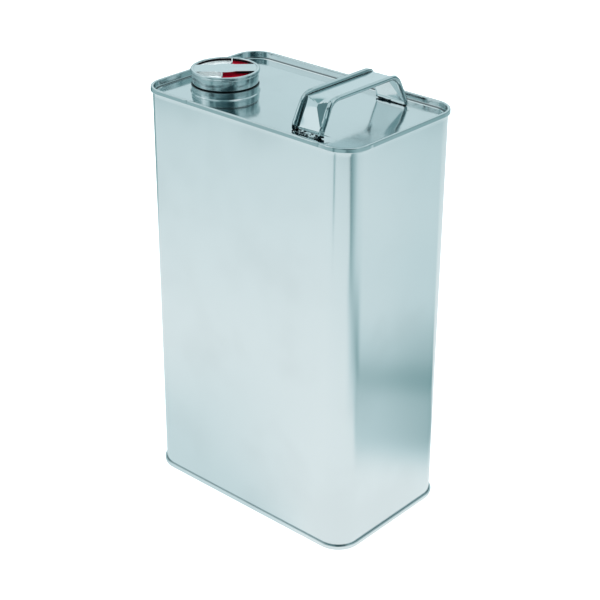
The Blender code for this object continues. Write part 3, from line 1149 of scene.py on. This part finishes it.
def strap_section():
    """The strap's mid-thickness section: across, and out of the web, from one curl's tip to the other's."""
    sizes = strap()
    curl = sizes.curl_radius - sizes.sheet / 2
    edge = web_edge()
    angles = [sizes.curl_turn * k / sizes.curl_steps for k in range(sizes.curl_steps + 1)]
    right = [(edge + curl * math.sin(a), curl - curl * math.cos(a)) for a in angles]
    web = [(edge * (2 * k / sizes.web_steps - 1), 0.0) for k in range(1, sizes.web_steps)]
    return [(-x, out) for x, out in reversed(right)] + web + right


def strap_corners():
    """The bridge's corner points along and above the can, from the front foot to the back one."""
    sizes = strap()
    foot = foot_reach()
    start = neck().clearance + sizes.sheet / 2 + sizes.foot_bend
    half = [(-foot, start), (-foot, sizes.foot_rise), (sizes.leg_spread - foot, sizes.rise)]
    return half + [(-y, z) for y, z in reversed(half)]


def strap_line():
    """Points of the bridge's front half from the foot to the middle, each with its outward direction."""
    corners = strap_corners()
    on_run, on_arc = 24, 12
    found = [(Vector(corners[0]), Vector((-1, 0)))]
    for k, radius in enumerate((strap().knee_bend, strap().top_bend)):
        start, _, centre, angle = corner_arc(*corners[k:k + 3], radius)
        at, way = found[-1]
        found += [(at.lerp(start, t / on_run), way) for t in range(1, on_run)]
        found += [(at, (at - centre).normalized()) for at in arc_points(start, centre, angle, on_arc)]
    at, middle = found[-1][0], Vector((0, strap().rise))
    return found + [(at.lerp(middle, t / on_run), Vector((0, 1))) for t in range(1, on_run + 1)]


def flare_curls(piece, middle):
    """Opens the edge curls wider and flatter down the legs."""
    sizes = strap()
    edge = web_edge()
    line = strap_line()
    for vertex in piece.data.vertices:
        x, y, z = vertex.co - middle
        if abs(x) < edge + weld_distance:
            continue
        at = Vector((-abs(y), z))
        near, way = min(line, key=lambda pair: (pair[0] - at).length_squared)
        most = sizes.flare if y < 0 else sizes.back_flare
        grown = most * min(1, 2 * (1 - near.y / sizes.rise))
        stands = (at - near).dot(way) * grown
        vertex.co.x += math.copysign((abs(x) - edge) * grown, x)
        vertex.co.y -= math.copysign(way.x * stands, y)
        vertex.co.z += way.y * stands


def fold_legs(piece, middle):
    """Folds each leg's web outwards to a ridge, from the foot's right corner to a crease in the bend."""
    sizes = strap()
    corners = strap_corners()
    edge = web_edge()
    start, _, centre, angle = corner_arc(*corners[1:4], sizes.top_bend)
    radius = (start - centre).length
    foot = Vector(corners[1])
    leg = start - foot
    out = Vector((-leg.y, leg.x)).normalized()
    top = 2 * sizes.ridge_column / sizes.web_steps - 1
    for vertex in piece.data.vertices:
        x, y, z = vertex.co - middle
        if abs(x) > edge + weld_distance:
            continue
        at = Vector((-abs(y), z))
        along = (at - foot).dot(leg) / leg.length_squared
        if along <= 0 or z < sizes.foot_rise:
            continue
        height, crown = (sizes.ridge, sizes.crown) if y < 0 else (sizes.back_ridge, 1.0)
        place = x / edge
        left = place < top
        roof = (place + 1) / (top + 1) if left else (1 - place) / (1 - top)
        if along < 1:
            # On the leg, the rows crowd towards the ridge, which stands out more the higher it is
            way, rise = out, height * along * roof
            ridge = sizes.ridge_foot + (top - sizes.ridge_foot) * along
            moved = (ridge + 1) * roof - 1 if left else 1 - (1 - ridge) * roof
            vertex.co.x += (moved - place) * edge
        else:
            # In the top bend, the leg's and the web's planes run on until they meet in the crease
            way = (at - centre).normalized()
            turned = out.angle(way)
            if turned >= abs(angle):
                continue
            leg_side = (radius + height * roof) / math.cos(turned) - radius
            web_side = (radius / math.cos(abs(angle) - turned) - radius) * (1 - (1 - crown) * roof)
            rise = min(leg_side, web_side) * min(1, (edge - abs(x)) / sizes.crease_margin)
        vertex.co.y += -math.copysign(1, y) * way.x * rise
        vertex.co.z += way.y * rise


def crimp_tabs(piece, middle):
    """Crimps the tabs between the electrodes' marks of their spot welds."""
    sizes = strap()
    foot, edge = foot_reach(), web_edge()
    flat_share = 0.12
    ripple, swing, cross_ripple = (full_turn / wave for wave in (0.0029, 0.0071, 0.0019))
    for vertex in piece.data.vertices:
        x, y, _ = vertex.co - middle
        beyond = (abs(y) - foot) / sizes.tab
        if beyond <= flat_share or abs(x) > edge + weld_distance:
            continue
        zigzag = math.sin(x * ripple + beyond * 2.6) * math.sin(x * swing + 1.1)
        cross = math.sin(x * cross_ripple - beyond * 4.5 + 2.3)
        shape = math.sin(math.pi * min(1, beyond)) ** 0.6
        vertex.co.z += sizes.weld_bump * (0.5 + 0.32 * zigzag + 0.18 * cross) * shape
        vertex.co.y -= math.copysign(sizes.weld_bump * (0.5 + 0.5 * cross) * max(0, beyond) ** 3, y)


class TIN_OT_strap(bpy.types.Operator):
    """Sweeps the strap with its curled edges over the bridge, and bends its welding tabs out"""

    bl_idname = "tin.strap"
    bl_label = "Carrying strap"

    def execute(self, context):
        sizes = strap()
        middle = strap_middle()
        corners = strap_corners()
        first = Vector(corners[0])
        points = [middle + Vector((x, first.x - out, first.y)) for x, out in strap_section()]
        piece = draw_line("carry_handle_shell", points)
        bends = [sizes.knee_bend, sizes.top_bend, sizes.top_bend, sizes.knee_bend]
        bend_steps = [6, 36, 36, 6]
        run_steps = [2, 16, 24, 16, 2]
        at = first
        for k, (radius, steps) in enumerate(zip(bends, bend_steps)):
            start, end, centre, angle = corner_arc(*corners[k:k + 3], radius)
            run((0, *(start - at)), run_steps[k])
            bend(middle + Vector((0, *centre)), (1, 0, 0), angle, steps)
            at = end
        run((0, *(Vector(corners[-1]) - at)), run_steps[-1])

        # The web's end rows at both feet, without the curls, turn out into the welding tabs
        edge = web_edge()
        fold_steps, tab_steps = 4, 10
        foot_y = corners[-1][0]
        for side in (-1, 1):
            select_where(
                piece,
                lambda at: abs(at.z - middle.z - first.y) < weld_distance
                and abs(at.x - middle.x) < edge + weld_distance
                and abs(at.y - middle.y - side * foot_y) < weld_distance,
            )
            centre = middle + Vector((0, side * (foot_y + sizes.foot_bend), first.y))
            bend(centre, (1, 0, 0), side * full_turn / 4, fold_steps)
            run((0, side * (sizes.tab - sizes.foot_bend), 0), tab_steps)
        close_up()
        leave_edit_mode()
        flare_curls(piece, middle)
        fold_legs(piece, middle)
        crimp_tabs(piece, middle)
        thicken(piece, sizes.sheet)
        finish_piece(piece, "carry_handle", "tin", strap_finish(), sharp=14)
        return {"FINISHED"}


class TIN_OT_seals(bpy.types.Operator):
    """Gives the frame's own sealing pieces their finishes"""

    bl_idname = "tin.seals"
    bl_label = "Seals"

    def execute(self, context):
        colours = finishes()
        compound = soft_finish("sealing_compound", colours.compound, 0.6, 0.00004)
        gasket = soft_finish("gasket_rubber", colours.gasket, 0.6, 0.00002)
        liner = soft_finish("liner_foam", colours.liner, 0.5, 0.00002)
        for node, finish in (
            ("top_seam_compound", compound),
            ("bottom_seam_compound", compound),
            ("neck_gasket", gasket),
            ("cap_liner", liner),
        ):
            frame["nodes"][node].material_slots[0].material = finish
        return {"FINISHED"}


# The studio

# Tones from dark to light, as places on a ramp and colours
tone_stops = (
    (0.0, (0.006, 0.024, 0.030)),
    (0.15, (0.045, 0.105, 0.120)),
    (0.40, (0.215, 0.370, 0.390)),
    (0.70, (0.600, 0.735, 0.765)),
    (0.85, (0.780, 0.865, 0.885)),
    (1.0, (0.890, 0.938, 0.950)),
)

# The tent's darker gaps: bearings from and to with the softness of each, heights from and to, how dark
tent_gaps = (
    (-181, -156, 0.5, 4, 0.15, 0.60, 0.30),
    (-170, -154, 3, 3, 0.70, 0.82, 0.80),
    (-146, -108, 4, 4, 0.60, 0.80, 0.35),
    (-135, -95, 23, 10, -1.0, 0.20, 0.84),
    (-118, -45, 6, 4, 0.30, 0.46, 0.56),
    (-74, -58, 3, 3, 0.14, 0.30, 0.18),
    (-29, 22, 4, 4, 0.41, 0.66, 0.62),
    (-14, 6, 4, 4, -1.0, 0.40, 0.74),
    (8, 33, 3, 3, 0.14, 0.50, 0.74),
    (22, 84, 4, 8, 0.41, 0.66, 0.84),
    (18, 70, 6, 5, 0.78, 0.97, 0.62),
    (0, 26, 4, 4, 0.89, 0.97, 0.40),
    (31, 76, 3, 5, -1.0, 0.80, 0.80),
    (50, 72, 4, 5, -1.0, 0.80, 0.70),
    (76, 88, 5, 6, -1.0, 0.80, 0.50),
    (92, 132, 8, 4, -1.0, 0.50, 0.28),
    (117, 133, 4, 4, -1.0, 0.45, 0.48),
    (134, 181, 4, 0.5, -1.0, 0.42, 0.50),
    (140, 158, 5, 5, 0.16, 0.46, 0.50),
)


def toned(maker, tone):
    """The studio's colour at a tone between 0 and 1: its darks are teal and its lights nearly white."""
    return maker.node("ShaderNodeValToRGB", {"stops": tone_stops}, [tone])


def bearing(maker, x, y):
    """The direction of a place in degrees, from the front towards +X."""
    return maker.node("ShaderNodeMath", {"operation": "ARCTAN2"}, [x, 0 - y]) * math.degrees(1)


def between(level, low, high, soft_low, soft_high):
    """1 between two values and 0 outside, with a soft edge at each."""
    rising = level.fade(low - soft_low, low + soft_low)
    return rising * level.fade(high + soft_high, high - soft_high)


def studio_world(maker):
    """What surrounds the can: white to the camera, and a light tent with darker gaps to its metal."""
    x, y, z = maker.split(maker.node("ShaderNodeTexCoord", output="Generated"))
    around = bearing(maker, x, y)
    lit = between(around, -66, -28, 6, 6) * z.fade(0.62, 0.50)
    dip = between(around, -97, -84, 2, 2) * between(z, 0.66, 0.82, 0.02, 0.02) * 0.5
    key = between(around, -114, -50, 8, 8) * between(z, 0.68, 0.90, 0.03, 0.03) * (1.0 - dip)
    back = between(around, 86, 122, 5, 4) * between(z, 0.79, 0.93, 0.02, 0.02)
    window = between(around, -36, -22, 3, 3) * between(z, 0.70, 0.80, 0.03, 0.03) * 0.9
    tone = 0.715 - z.fade(0.4, 0.65) * 0.12 + lit * 0.1
    for low, high, soft_low, soft_high, bottom, top, depth in tent_gaps:
        gap = between(around, low, high, soft_low, soft_high) * between(z, bottom, top, 0.03, 0.06)
        tone = tone * (1.0 - gap * depth)
    horizon = z.fade(0.25, 0.12) * (1.0 - lit)
    return toned(maker, (tone * (1.0 - horizon * 0.3)).high(key.high(back.high(window))))


def floor_reflection(maker):
    """What the can's metal sees in the floor: pale, with soft dark stretches."""
    x, y, _ = maker.split(maker.node("ShaderNodeTexCoord", output="Object"))
    radius = (x * x + y * y) ** 0.5
    tone = 0.99 - radius.fade(0.10, 0.75) * 0.19
    tone = tone * (1.0 - radius.fade(0.78, 0.96) * 0.4)

    # A soft shade that the lower left of the broad side shows
    corner = bearing(maker, x - 0.069, y + 0.036)
    shade = corner.fade(-35, -80) * corner.fade(-165, -120) * radius.fade(0.32, 0.14)
    tone = tone * (1.0 - shade * 0.22)

    # The broad dark band that the narrow side shows, darker towards the back
    turned = math.radians(141)
    away = x * math.sin(turned) - y * math.cos(turned)
    along = x * math.cos(turned) + y * math.sin(turned)
    band = away.fade(0.10, 0.16) * 0.32 - away.fade(0.25, 0.36) * 0.20 - away.fade(0.40, 0.60) * 0.10
    core = between(away, 0.222, 0.262, 0.016, 0.02) * 0.14
    side = along.fade(-0.09, -0.02) * (away.fade(0.08, 0.16) * 0.23 - away.fade(0.31, 0.40) * 0.13)
    gate = corner.fade(90, 118) * along.fade(0.045, 0.02)
    tone = tone * (1.0 - (band + core) * gate) * (1.0 - side * gate)

    # The streak that the front corner shows: sharp with a long tail far away, soft on both sides near by
    past = corner - 64 - (0.713 - radius) * 41 - radius.fade(0.52, 0.40) * 20
    edge = -5.0 - radius.fade(0.56, 0.42) * 40
    depth = radius.fade(0.20, 0.36) * 0.38 + radius.fade(0.46, 0.72) * 0.20
    streak = depth * past.fade(edge, 0.0) * past.fade(44, -8)
    heart = between(past, -3, 4, 2, 4) * radius.fade(0.45, 0.65) * 0.25

    # A narrow one beside it and one at the left corner
    thin = between(corner, -11, -3, 2.5, 2.5) * radius.fade(0.50, 0.65) * 0.4
    left = between(bearing(maker, x + 0.069, y + 0.036), -125, -92, 8, 8) * radius.fade(0.4, 0.6) * 0.5
    tone = tone * (1.0 - streak) * (1.0 - heart) * (1.0 - thin) * (1.0 - left)
    return toned(maker, tone)


class TIN_OT_studio(bpy.types.Operator):
    """Sets up the floor, the surroundings, the lamps and the camera"""

    bl_idname = "tin.studio"
    bl_label = "Studio"

    def execute(self, context):
        self.make_world(context)
        self.make_floor(context)
        self.make_lamps()
        self.make_camera(context)
        context.scene.view_settings.view_transform = "Standard"
        return {"FINISHED"}

    def make_world(self, context):
        world = bpy.data.worlds.new("studio")
        world.use_nodes = True
        context.scene.world = world
        maker = NodeMaker(world.node_tree)
        to_camera = maker.node("ShaderNodeLightPath", output="Is Camera Ray")
        shown = maker.mix(to_camera, studio_world(maker), solid((1, 1, 1)))
        background = maker.node("ShaderNodeBackground", {}, {"Color": shown, "Strength": 1.0})
        maker.node("ShaderNodeOutputWorld", {}, {"Surface": background})

    def make_floor(self, context):
        deselect_all()
        bpy.ops.mesh.primitive_plane_add(size=context.scene.tin_studio.floor_size)
        floor = bpy.context.object
        floor.name = "floor"
        found, maker = new_finish("studio_floor")
        matt = maker.node("ShaderNodeBsdfDiffuse", {}, {"Color": solid((0.9, 0.9, 0.9))})
        white = maker.node("ShaderNodeEmission", {}, {"Color": solid((1, 1, 1)), "Strength": 0.75})
        pale = maker.node("ShaderNodeAddShader", {}, [matt, white])
        seen = maker.node("ShaderNodeEmission", {}, {"Color": floor_reflection(maker), "Strength": 1.0})
        gloss = maker.node("ShaderNodeLightPath", output="Is Glossy Ray")
        shader = maker.node("ShaderNodeMixShader", {}, [gloss, pale, seen])
        maker.node("ShaderNodeOutputMaterial", {}, {"Surface": shader})
        floor.data.materials.append(found)

    def make_lamps(self):
        for name, place, size, power in (
            ("key_softbox", (-0.9, -0.5, 1.5), 0.9, 15.0),
            ("fill_softbox", (0.9, 0.7, 1.3), 0.8, 8.0),
        ):
            deselect_all()
            bpy.ops.object.light_add(type="AREA", location=place)
            lamp = bpy.context.object
            lamp.name = name
            lamp.data.size = size
            lamp.data.energy = power
            lamp.visible_glossy = False
            aim = Vector((0, 0, can_height() / 2)) - Vector(place)
            lamp.rotation_euler = aim.to_track_quat("-Z", "Y").to_euler()

    def make_camera(self, context):
        settings = context.scene.tin_studio
        turned, tilt, roll = settings.camera_turn, settings.camera_tilt, settings.camera_roll
        level = math.cos(tilt)
        back = Vector((math.sin(turned) * level, -math.cos(turned) * level, math.sin(tilt)))
        right = Vector((math.cos(turned), math.sin(turned), 0))
        up = back.cross(right)
        right, up = (
            right * math.cos(roll) + up * math.sin(roll),
            up * math.cos(roll) - right * math.sin(roll),
        )
        aim = Vector((0, 0, can_height() / 2)) + right * settings.camera_right + up * settings.camera_up
        deselect_all()
        bpy.ops.object.camera_add(location=aim + back * settings.camera_distance)
        camera = bpy.context.object
        camera.rotation_euler = Matrix((right, up, back)).transposed().to_euler()
        camera.data.sensor_width = 36
        camera.data.lens = settings.focal_length
        camera.data.clip_start = 0.01
        camera.data.clip_end = 50
        context.scene.camera = camera


class TIN_PT_panel(bpy.types.Panel):
    """Lists the pieces of the can and its studio"""

    bl_idname = "TIN_PT_panel"
    bl_label = "Tin can"
    bl_space_type = "VIEW_3D"
    bl_region_type = "UI"
    bl_category = "Tin can"

    def draw(self, context):
        for operator in piece_operators:
            self.layout.operator(operator.bl_idname)


piece_operators = (
    TIN_OT_wall,
    TIN_OT_ends,
    TIN_OT_neck,
    TIN_OT_cap,
    TIN_OT_strap,
    TIN_OT_seals,
    TIN_OT_studio,
)
size_groups = (
    ("tin_body", TinBodySizes),
    ("tin_neck", NeckSizes),
    ("tin_cap", CapSizes),
    ("tin_strap", StrapSizes),
    ("tin_finish", FinishColours),
    ("tin_studio", StudioSettings),
)


def register():
    for name, group in size_groups:
        bpy.utils.register_class(group)
        setattr(bpy.types.Scene, name, bpy.props.PointerProperty(type=group))
    for found in (*piece_operators, TIN_PT_panel):
        bpy.utils.register_class(found)


def unregister():
    for found in reversed((*piece_operators, TIN_PT_panel)):
        bpy.utils.unregister_class(found)
    for name, group in reversed(size_groups):
        delattr(bpy.types.Scene, name)
        bpy.utils.unregister_class(group)


def main():
    register()
    bpy.ops.tin.wall()
    bpy.ops.tin.ends()
    bpy.ops.tin.neck()
    bpy.ops.tin.cap()
    bpy.ops.tin.strap()
    bpy.ops.tin.seals()
    bpy.ops.tin.studio()
    deselect_all()


if __name__ == "__main__":
    main()
